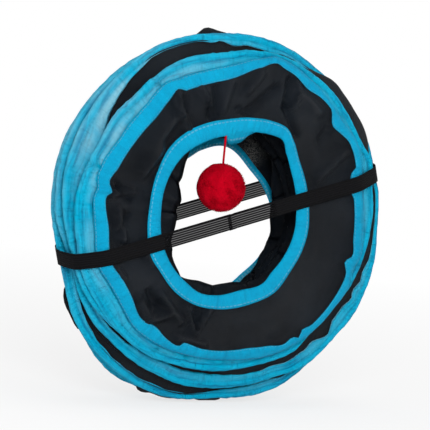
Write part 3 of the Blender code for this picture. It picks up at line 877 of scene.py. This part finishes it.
def sleeve_row(seed, place, angle, sunk=0.0, ends=(False, False)):
    """One cut through a sleeve, from its front hem over the ridge to its rear one, with tones of painted
    light coming through the cloth.
    """
    hem, rear_hem, sway, puff, crimp, gather = (
        height * ripple(angle, waves, seed + i) for i, (height, waves) in enumerate(SLEEVE_RIPPLES)
    )
    tones = list(SLEEVE_PAINTED_LIGHT)

    def at(out, back):
        return rim(place, angle, out - sunk, back)

    def flank(depth, levels):
        return [at(-CHANNEL + (CHANNEL - depth) * share, level) for share, level in levels]

    if ends[0]:
        edge = polar(FRONT, angle, reading(TAPE_OUTER, angle) - 0.0015, TAPE_BACK_Y + 0.0006)
        channel = at(-CHANNEL, -CHANNEL_HALF)
        front = [edge.lerp(channel, 0.2), edge, edge.lerp(channel, 0.3), edge.lerp(channel, 0.62), channel]
        near, far = pinched(angle, 0.3), pinched(angle, 0.62)
        front[0].y += 0.0014
        front[2].y -= 0.0005 + puff * 0.8 + gather + 0.5 * near
        front[3].y -= 0.0012 + puff + far
        # Pinches take away some of the painted light coming through the cloth
        tones[2] -= near / PINCH_TINT
        tones[3] -= far / PINCH_TINT
    else:
        front = flank(depth_at(place, angle) + hem, (
            (0.8, -HEM_HALF + HEM_TURNED), (1, -HEM_HALF - crimp),
            (0.72, -HEM_HALF - 0.0003 + crimp - gather), (0.4, -BELLY - puff), (0, -CHANNEL_HALF),
        ))
    ridge = [at(-0.0036, -0.0026), at(-0.0012, -0.0025 + sway), at(crimp, -0.0009 + sway)]
    ridge += [at(crimp, 0.0009 + sway), at(-0.0012, 0.0025 + sway), at(-0.0036, 0.0026)]
    if ends[1]:
        edge = polar(REAR, angle, REAR_SLEEVE_EDGE, REAR_TAPE_Y)
        channel = at(-CHANNEL, CHANNEL_HALF)
        back = [channel, edge.lerp(channel, 0.62), edge.lerp(channel, 0.3), edge, edge.lerp(channel, 0.2)]
        back[2].y += 0.0006 + puff * 0.8 + gather
        back[4].y -= 0.0014
    else:
        back = flank(reading(EVEN_DEPTH, angle) + rear_hem, (
            (0, CHANNEL_HALF), (0.4, BELLY + puff), (0.72, HEM_HALF + gather), (1, HEM_HALF),
            (0.8, HEM_HALF - HEM_TURNED),
        ))
    # The painted light coming through is scaled by the angle
    painted_light = painted_light_through(angle)
    return front + ridge + back, [value * painted_light for value in tones]


def sleeve(name, node, rows):
    """A cyan sleeve over its rows."""
    cuts, tones = zip(*rows)
    return cloth(name, cuts, "cyan_cloth", node, "folded", tones, wall=0)


def sleeves():
    """The cyan sleeve of each turn and its climb to the next. The end turns close on themselves."""
    for turn, (body, node) in enumerate(zip(BODIES, SLEEVES)):
        seed = turn * 5.3
        ends = (turn == 0, turn == 4)
        span = (HOOP_SEAM, HOOP_SEAM - 360) if any(ends) else (CLIMB_TO, CLIMB_FROM - 360)
        rows = [sleeve_row(seed, turn, angle, ends=ends) for angle in angles(*span)]
        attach(sleeve(f"sleeve_{turn + 1}", node, rows), body)
        if turn == 4:
            continue
        rows = []
        for angle in angles(CLIMB_FROM, CLIMB_TO):
            share = turn_at(0, angle)
            sunk = SUNK * {0: 1 - share, 3: share}.get(turn, 0)
            rows.append(sleeve_row(seed, turn + share, angle, sunk))
        made = sleeve(f"sleeve_{turn + 1}_climb", node, rows)
        start, end = rim(turn, CLIMB_FROM, 0, 0), rim(turn + 1, CLIMB_TO, 0, 0)
        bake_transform(made)


def wire_piece(name, points):
    """A round wire along points."""
    turns = [math.tau * k / WIRE_SIDES for k in range(WIRE_SIDES + 1)]
    rows = []
    for i, point in enumerate(points):
        along = (points[min(i + 1, len(points) - 1)] - points[max(i - 1, 0)]).normalized()
        side = along.cross(Vector((0, 1, 0))).normalized()
        other = side.cross(along)
        rows.append([point + (side * math.cos(t) + other * math.sin(t)) * WIRE_RADIUS for t in turns])
    return dress(sheet_object(name, rows, wall=0)[0], "spring_steel", "spring_wire")


def wires():
    """The spring wire inside the sleeves, turn by turn."""
    for turn, body in enumerate(BODIES):
        span = angles(CLIMB_TO, CLIMB_TO - 360 if turn == 4 else CLIMB_FROM - 360, WIRE_STEP)
        points = [rim(turn, angle, -WIRE_DEPTH, 0) for angle in span]
        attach(wire_piece(f"wire_{turn + 1}", points), body)
        if turn < 4:
            span = angles(CLIMB_FROM, CLIMB_TO, WIRE_STEP)
            points = [rim(turn_at(turn, angle), angle, -WIRE_DEPTH, 0) for angle in span]
            made = wire_piece(f"wire_{turn + 1}_climb", points)
            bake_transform(made)


def skin_point(turn, place, angle, share):
    """A point of the black cloth between two turns, so far across from the front one's hem."""
    start = rim(max(place, 0), angle, -SKIN_INSET, 0)
    behind = min(place + 1, 4)
    end = rim(behind, angle, SKIN_LAP - depth_at(behind, angle), 0)
    point = start.lerp(end, share)
    point.y = FIRST_Y + PITCH * place + SKIN_EDGE + SKIN_GAP * share
    way = (point - polar(STACK, 0, 0, point.y)).normalized()
    crown = math.sin(math.pi * share)
    lift = reading(BULGES[max(turn, 0)], angle) * crown**0.7
    lift += SKIN_RIPPLE * crown * noise.noise(Vector((way.x * 9, way.z * 9, turn + share * 2)))
    moved = point + way * lift
    moved.z = max(moved.z, CLOTH)
    return moved


def black_piece(name, turn, rows, wall=0, half=0):
    """Black cloth over its rows, part of the section behind a turn."""
    return cloth(name, rows, "black_cloth", f"tube_section_{turn + 1}", "folded", wall=wall, half=half)


def skins():
    """Black cloth outside, from each sleeve to the next."""
    shares = [i / SKIN_COLUMNS for i in range(SKIN_COLUMNS + 1)]
    for turn in range(4):
        span = angles(CLIMB_TO, CLIMB_FROM - 360)
        rows = [[skin_point(turn, turn, angle, share) for share in shares] for angle in span]
        made = black_piece(f"tube_skin_{turn + 1}", turn, rows)
        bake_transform(made)


def climb_skins():
    """The black cloth where the turns climb, each square in two halves, one for the section on each side."""
    shares = [i / CLIMB_CELLS for i in range(CLIMB_CELLS + 1)]
    chord = polar(STACK, CLIMB_TO, CLIMB_RADIUS, 0) - polar(STACK, CLIMB_FROM, CLIMB_RADIUS, 0)
    slope = chord.normalized() * ((1 - PITCH / SKIN_GAP) / chord.length)
    slope.y = 1 / SKIN_GAP
    for turn in range(-1, 4):
        rows = []
        for along in shares:
            angle = CLIMB_FROM + (CLIMB_TO - CLIMB_FROM) * along
            rows.append([skin_point(turn, turn + along, angle, share) for share in shares])
        for half, front in ((-1, turn), (1, turn + 1)):
            if front < 0 or front > 3:
                continue
            start = polar(STACK, CLIMB_FROM, CLIMB_RADIUS, FIRST_Y + PITCH * turn + SKIN_EDGE)
            start.y += SKIN_GAP * (front - turn)
            made = black_piece(f"tube_skin_{turn + 2}_climb_{front + 1}", front, rows, half=half)
            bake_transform(made)


def fold_row(turn, angle, share):
    """One cut through an inward fold, down its front wall and back up its rear wall."""
    puff = math.sin(math.pi * share)
    sway = 0.0018 * ripple(angle, 24, turn * 3.1) - 0.001 * puff
    nose = reading(NOSES[turn], angle) - NOSE_PUFF * puff
    tip = polar(NOSE_CENTRES[turn], angle, nose, FIRST_Y + PITCH * (turn + 0.5) + sway)
    inset = max(FOLD_DEPTH, depth_at(turn + 1, angle) + FOLD_CLEAR)
    walls = []
    for wall, side in (
        (rim(turn, angle, -FOLD_DEPTH, HEM_HALF - 0.0006), -1),
        (rim(turn + 1, angle, -inset, -HEM_HALF + 0.0006), 1),
    ):
        points = [wall.lerp(tip, part) for part in FOLD_PARTS]
        for point, part in zip(points, FOLD_PARTS):
            point.y += side * FOLD_BELLY * math.sin(math.pi * part) * (0.4 + 0.6 * puff)
        walls.append(points)
    return walls[0] + [tip] + walls[1][::-1]


def fold_segments():
    """Black cloth folded inwards between the turns, in creased segments round the tunnel."""
    width = 360 / FOLD_SEGMENTS
    for turn in range(4):
        for segment in range(FOLD_SEGMENTS):
            first = segment * width + FOLD_SHIFT * turn
            shares = [row / FOLD_ROWS for row in range(FOLD_ROWS + 1)]
            rows = [fold_row(turn, first + width * share, share) for share in shares]
            made = black_piece(f"tube_fold_{turn + 1}_{segment + 1}", turn, rows, CLOTH)
            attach(made, BODIES[turn + 1])
            angle = first + width / 2
            centre, table = RINGS[turn + 1]
            anchor = polar(centre, angle, reading(table, angle) - FOLD_INSET, 0)
            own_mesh(made)


def creased(point):
    """How far the front panel's creases lift it forward at a point."""
    lift = 0
    spot = Vector((point.x - FRONT[0] * MM, point.z - FRONT[1] * MM))
    for x_1, z_1, x_2, z_2, width, height in CREASES:
        first, last = Vector((x_1, z_1)) * MM, Vector((x_2, z_2)) * MM
        line = last - first
        share = min(max((spot - first).dot(line) / line.length_squared, 0), 1)
        away = (spot - first - line * share).length / (width * MM)
        lift += height * MM * math.exp(-(away**2))
    return lift


def front_lift(point, share):
    """How far back the front panel sags and creases at a point."""
    slack = min(1, math.sin(math.pi * share) * 1.8)
    soft = noise.noise(Vector((point.x * 24, point.z * 24, 5)))
    fine = noise.noise(Vector((point.x * 70, point.z * 70, 9)))
    return slack * (0.0016 + 0.0026 * soft + 0.0007 * fine - CREASING * creased(point))


def rear_lift(point, share):
    """How far back the rear panel sags at a point."""
    soft = noise.noise(Vector((point.x * 24, point.z * 24, 15)))
    return -math.sin(math.pi * share) * (0.001 + 0.002 * soft)


def panel_row(centre, angle, inner, outer, face_y, columns, lift):
    """A cut through an end's panel, from under the binding to under the tape."""
    row = []
    for i in range(columns + 1):
        share = i / columns
        radius = inner - PANEL_LAP + (outer + PANEL_LAP - inner + PANEL_LAP) * share
        point = polar(centre, angle, radius, face_y)
        point.y += lift(point, share)
        row.append(point)
    return row


def flat_row(centre, angle, inner, outer, face_y, cuts, knee=0.0):
    """A cut through a tape or binding, by shares of its width and levels."""
    width = outer - inner
    return [polar(centre, angle, inner + width * part, face_y + level - knee * part) for part, level in cuts]


def front_cut(angle):
    """One cut through the front panel, tape and binding, with tones: painted shade at the laps."""
    rim_in, rim_out = reading(BINDING_INNER, angle), reading(BINDING_OUTER, angle)
    edge, outer = reading(PANEL_EDGE, angle), reading(TAPE_OUTER, angle)
    panel = panel_row(FRONT, angle, rim_out, edge, FACE_Y, PANEL_COLUMNS, front_lift)
    tape = flat_row(FRONT, angle, edge, outer, FACE_Y, TAPE_CUTS, 0.0006 * ripple(angle, 70, 2))
    binding = flat_row(FRONT, angle, rim_in, rim_out, FACE_Y, BINDING_CUTS)
    hung = flat_row(FRONT, angle, rim_in, rim_out, FACE_Y, FLAP_CUTS)
    flap = math.exp(-((turned(angle, FLAP_ANGLE) / FLAP_HALF) ** 4))
    binding[-2:] = [point.lerp(end, flap) for point, end in zip(binding[-2:], hung)]
    lap_shade = [float(abs(angle - lap) < LAP_HALF) for lap in (TAPE_LAP, BINDING_LAP)]
    return (panel, [0] * len(panel)), (tape, lap_shade[:1] * len(tape)), (binding, lap_shade[1:] * len(binding))


def rear_cut(angle):
    """One cut through the rear panel, tape and binding, with tones: painted light seen through a patch of
    the panel.
    """
    edge = REAR_EDGE + 0.0012 * ripple(angle, 24, 31)
    outer = REAR_TAPE_OUTER + 0.0008 * ripple(angle, 20, 32)
    rim_in = reading(REAR_BINDING_INNER, angle)
    turned_over = max(0, math.cos(math.radians(angle - BINDING_TURNED)))
    rim_out = rim_in + REAR_BINDING_WIDTH - REAR_TURNED_BY * turned_over
    panel = panel_row(REAR, angle, rim_out, edge, REAR_FACE_Y, REAR_COLUMNS, rear_lift)
    # The patch where painted light is seen through the panel's loose cloth
    seen_light_share = max(0, 1 - abs(angle - THIN_ANGLE) / THIN_REACH)
    seen_light = [seen_light_share * (i < THIN_COLUMNS) for i in range(len(panel))]
    tape = flat_row(REAR, angle, edge, outer, REAR_FACE_Y, REAR_TAPE_CUTS)
    binding = flat_row(REAR, angle, rim_in, rim_out, REAR_FACE_Y, REAR_BINDING_CUTS)
    return (panel, seen_light), (tape, [0] * len(tape)), (binding, [0] * len(binding))


def end_pieces(end, cut):
    """The black panel, the seam tape and the binding of one end of the tunnel."""
    cuts = [cut(angle) for angle in angles(FACE_SEAM, FACE_SEAM - 360)]
    for pairs, name, node, slot, held in zip(
        zip(*cuts),
        ("panel_cloth", "tape", "binding"),
        ("panel", "seam_tape", "opening_binding"),
        ("black_cloth", "cyan_tape", "cyan_tape"),
        ("stretched", "stretched", "folded"),
    ):
        rows, tones = zip(*pairs)
        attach(cloth(f"{end}_{name}", rows, slot, f"{end}_{node}", held, tones), f"{end}_end")


def smooth_path(points, step):
    """Points along a smooth curve through given ones."""
    path, last = [], len(points) - 1
    for i in range(last):
        a, b, c, d = (Vector(points[min(max(i + k, 0), last)]) for k in (-1, 0, 1, 2))
        parts = max(1, round((c - b).length / step))
        for part in range(parts):
            t = part / parts
            spot = b + (c - a) * (t / 2) + (a - b * 2.5 + c * 2 - d / 2) * t**2
            spot += (b * 1.5 - c * 1.5 + (d - a) / 2) * t**3
            path.append(spot)
    return path + [Vector(points[-1])]


def band():
    """The elastic band round the folded stack, with its ends lapped in front."""
    along = Vector((math.cos(BAND_SLOPE), 0, math.sin(BAND_SLOPE)))
    across = Vector((-math.sin(BAND_SLOPE), 0, math.cos(BAND_SLOPE)))
    centre = polar(FRONT, 0, 0, 0) - Vector((0, 0, BAND_DROP))
    rows, tones = [], []
    for a, y in smooth_path([(a * MM, y * MM) for a, y in BAND_LEFT + BAND_RIGHT], BAND_STEP):
        middle = centre + along * a + Vector((0, y, 0))
        rows.append([middle + across * (BAND_WIDTH * (share - 0.5)) for share in (0, 0.25, 0.5, 0.75, 1)])
        low, high = BAND_CLEAR[y > 0]
        tones.append([float(low * MM < a < high * MM)] * 5)
    look = ("black_elastic", "elastic_band", "stretched")
    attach(cloth("holding_band_elastic", rows, *look, tones, BAND_WALL), "holding_band")


def floor():
    """A plain pale floor, which shows the camera more of its own white further out."""
    corners = [(x * FLOOR_HALF, y * FLOOR_HALF, 0) for x, y in ((-1, -1), (1, -1), (1, 1), (-1, 1))]
    made = mesh_object("floor", corners, [(0, 1, 2, 3)])
    made.location.z = FLOOR_Z
    graph = material("floor_white", 0.9, Base_Color=FLOOR_WHITE, Specular_IOR_Level=0.0)
    place = graph.node("ShaderNodeTexCoord").outputs["Object"]
    away = graph.node("ShaderNodeVectorMath", {"operation": "LENGTH"}, Vector=place).outputs["Value"]
    reach = {"From_Min": FLOOR_NEAR, "From_Max": FLOOR_FAR, "To_Min": FLOOR_GLOW}
    fade = graph.node("ShaderNodeMapRange", Value=away, **reach)
    share = graph.times(graph.shown(), fade.outputs[0])
    graph.show(share, graph.node("ShaderNodeEmission"), "Material Output")
    made.data.materials.append(graph.made)


def studio():
    """Plain light from all round, white behind the object, and soft lamps."""
    scene = bpy.context.scene
    scene.world = scene.world or bpy.data.worlds.new("studio")
    graph = Graph(scene.world, "Background")
    graph.feed(graph.shader, Color=WHITE, Strength=WORLD_LIGHT)
    seen = graph.node("ShaderNodeBackground", Color=WHITE, Strength=1)
    graph.show(graph.shown(), seen, "World Output")
    for name, place, reach, power in LAMPS:
        lamp = bpy.data.lights.new(name, "AREA")
        lamp.size = reach
        lamp.energy = power
        made = put_in_scene(name, lamp)
        made.location = place
        made.rotation_euler = (Vector(place) - LAMP_TARGET).to_track_quat("Z", "Y").to_euler()
    scene.view_settings.view_transform = "Standard"


def caps():
    """The end caps of the wire keep their solids and get clear vinyl."""
    for name in ("front_wire_end_cap", "rear_wire_end_cap"):
        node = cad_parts[name]
        node.data.materials.clear()
        node.data.materials.append(LOOKS["clear_vinyl"])


camera()
string()
pompom()
sleeves()
wires()
skins()
climb_skins()
fold_segments()
end_pieces("front", front_cut)
end_pieces("rear", rear_cut)
band()
caps()
floor()
studio()
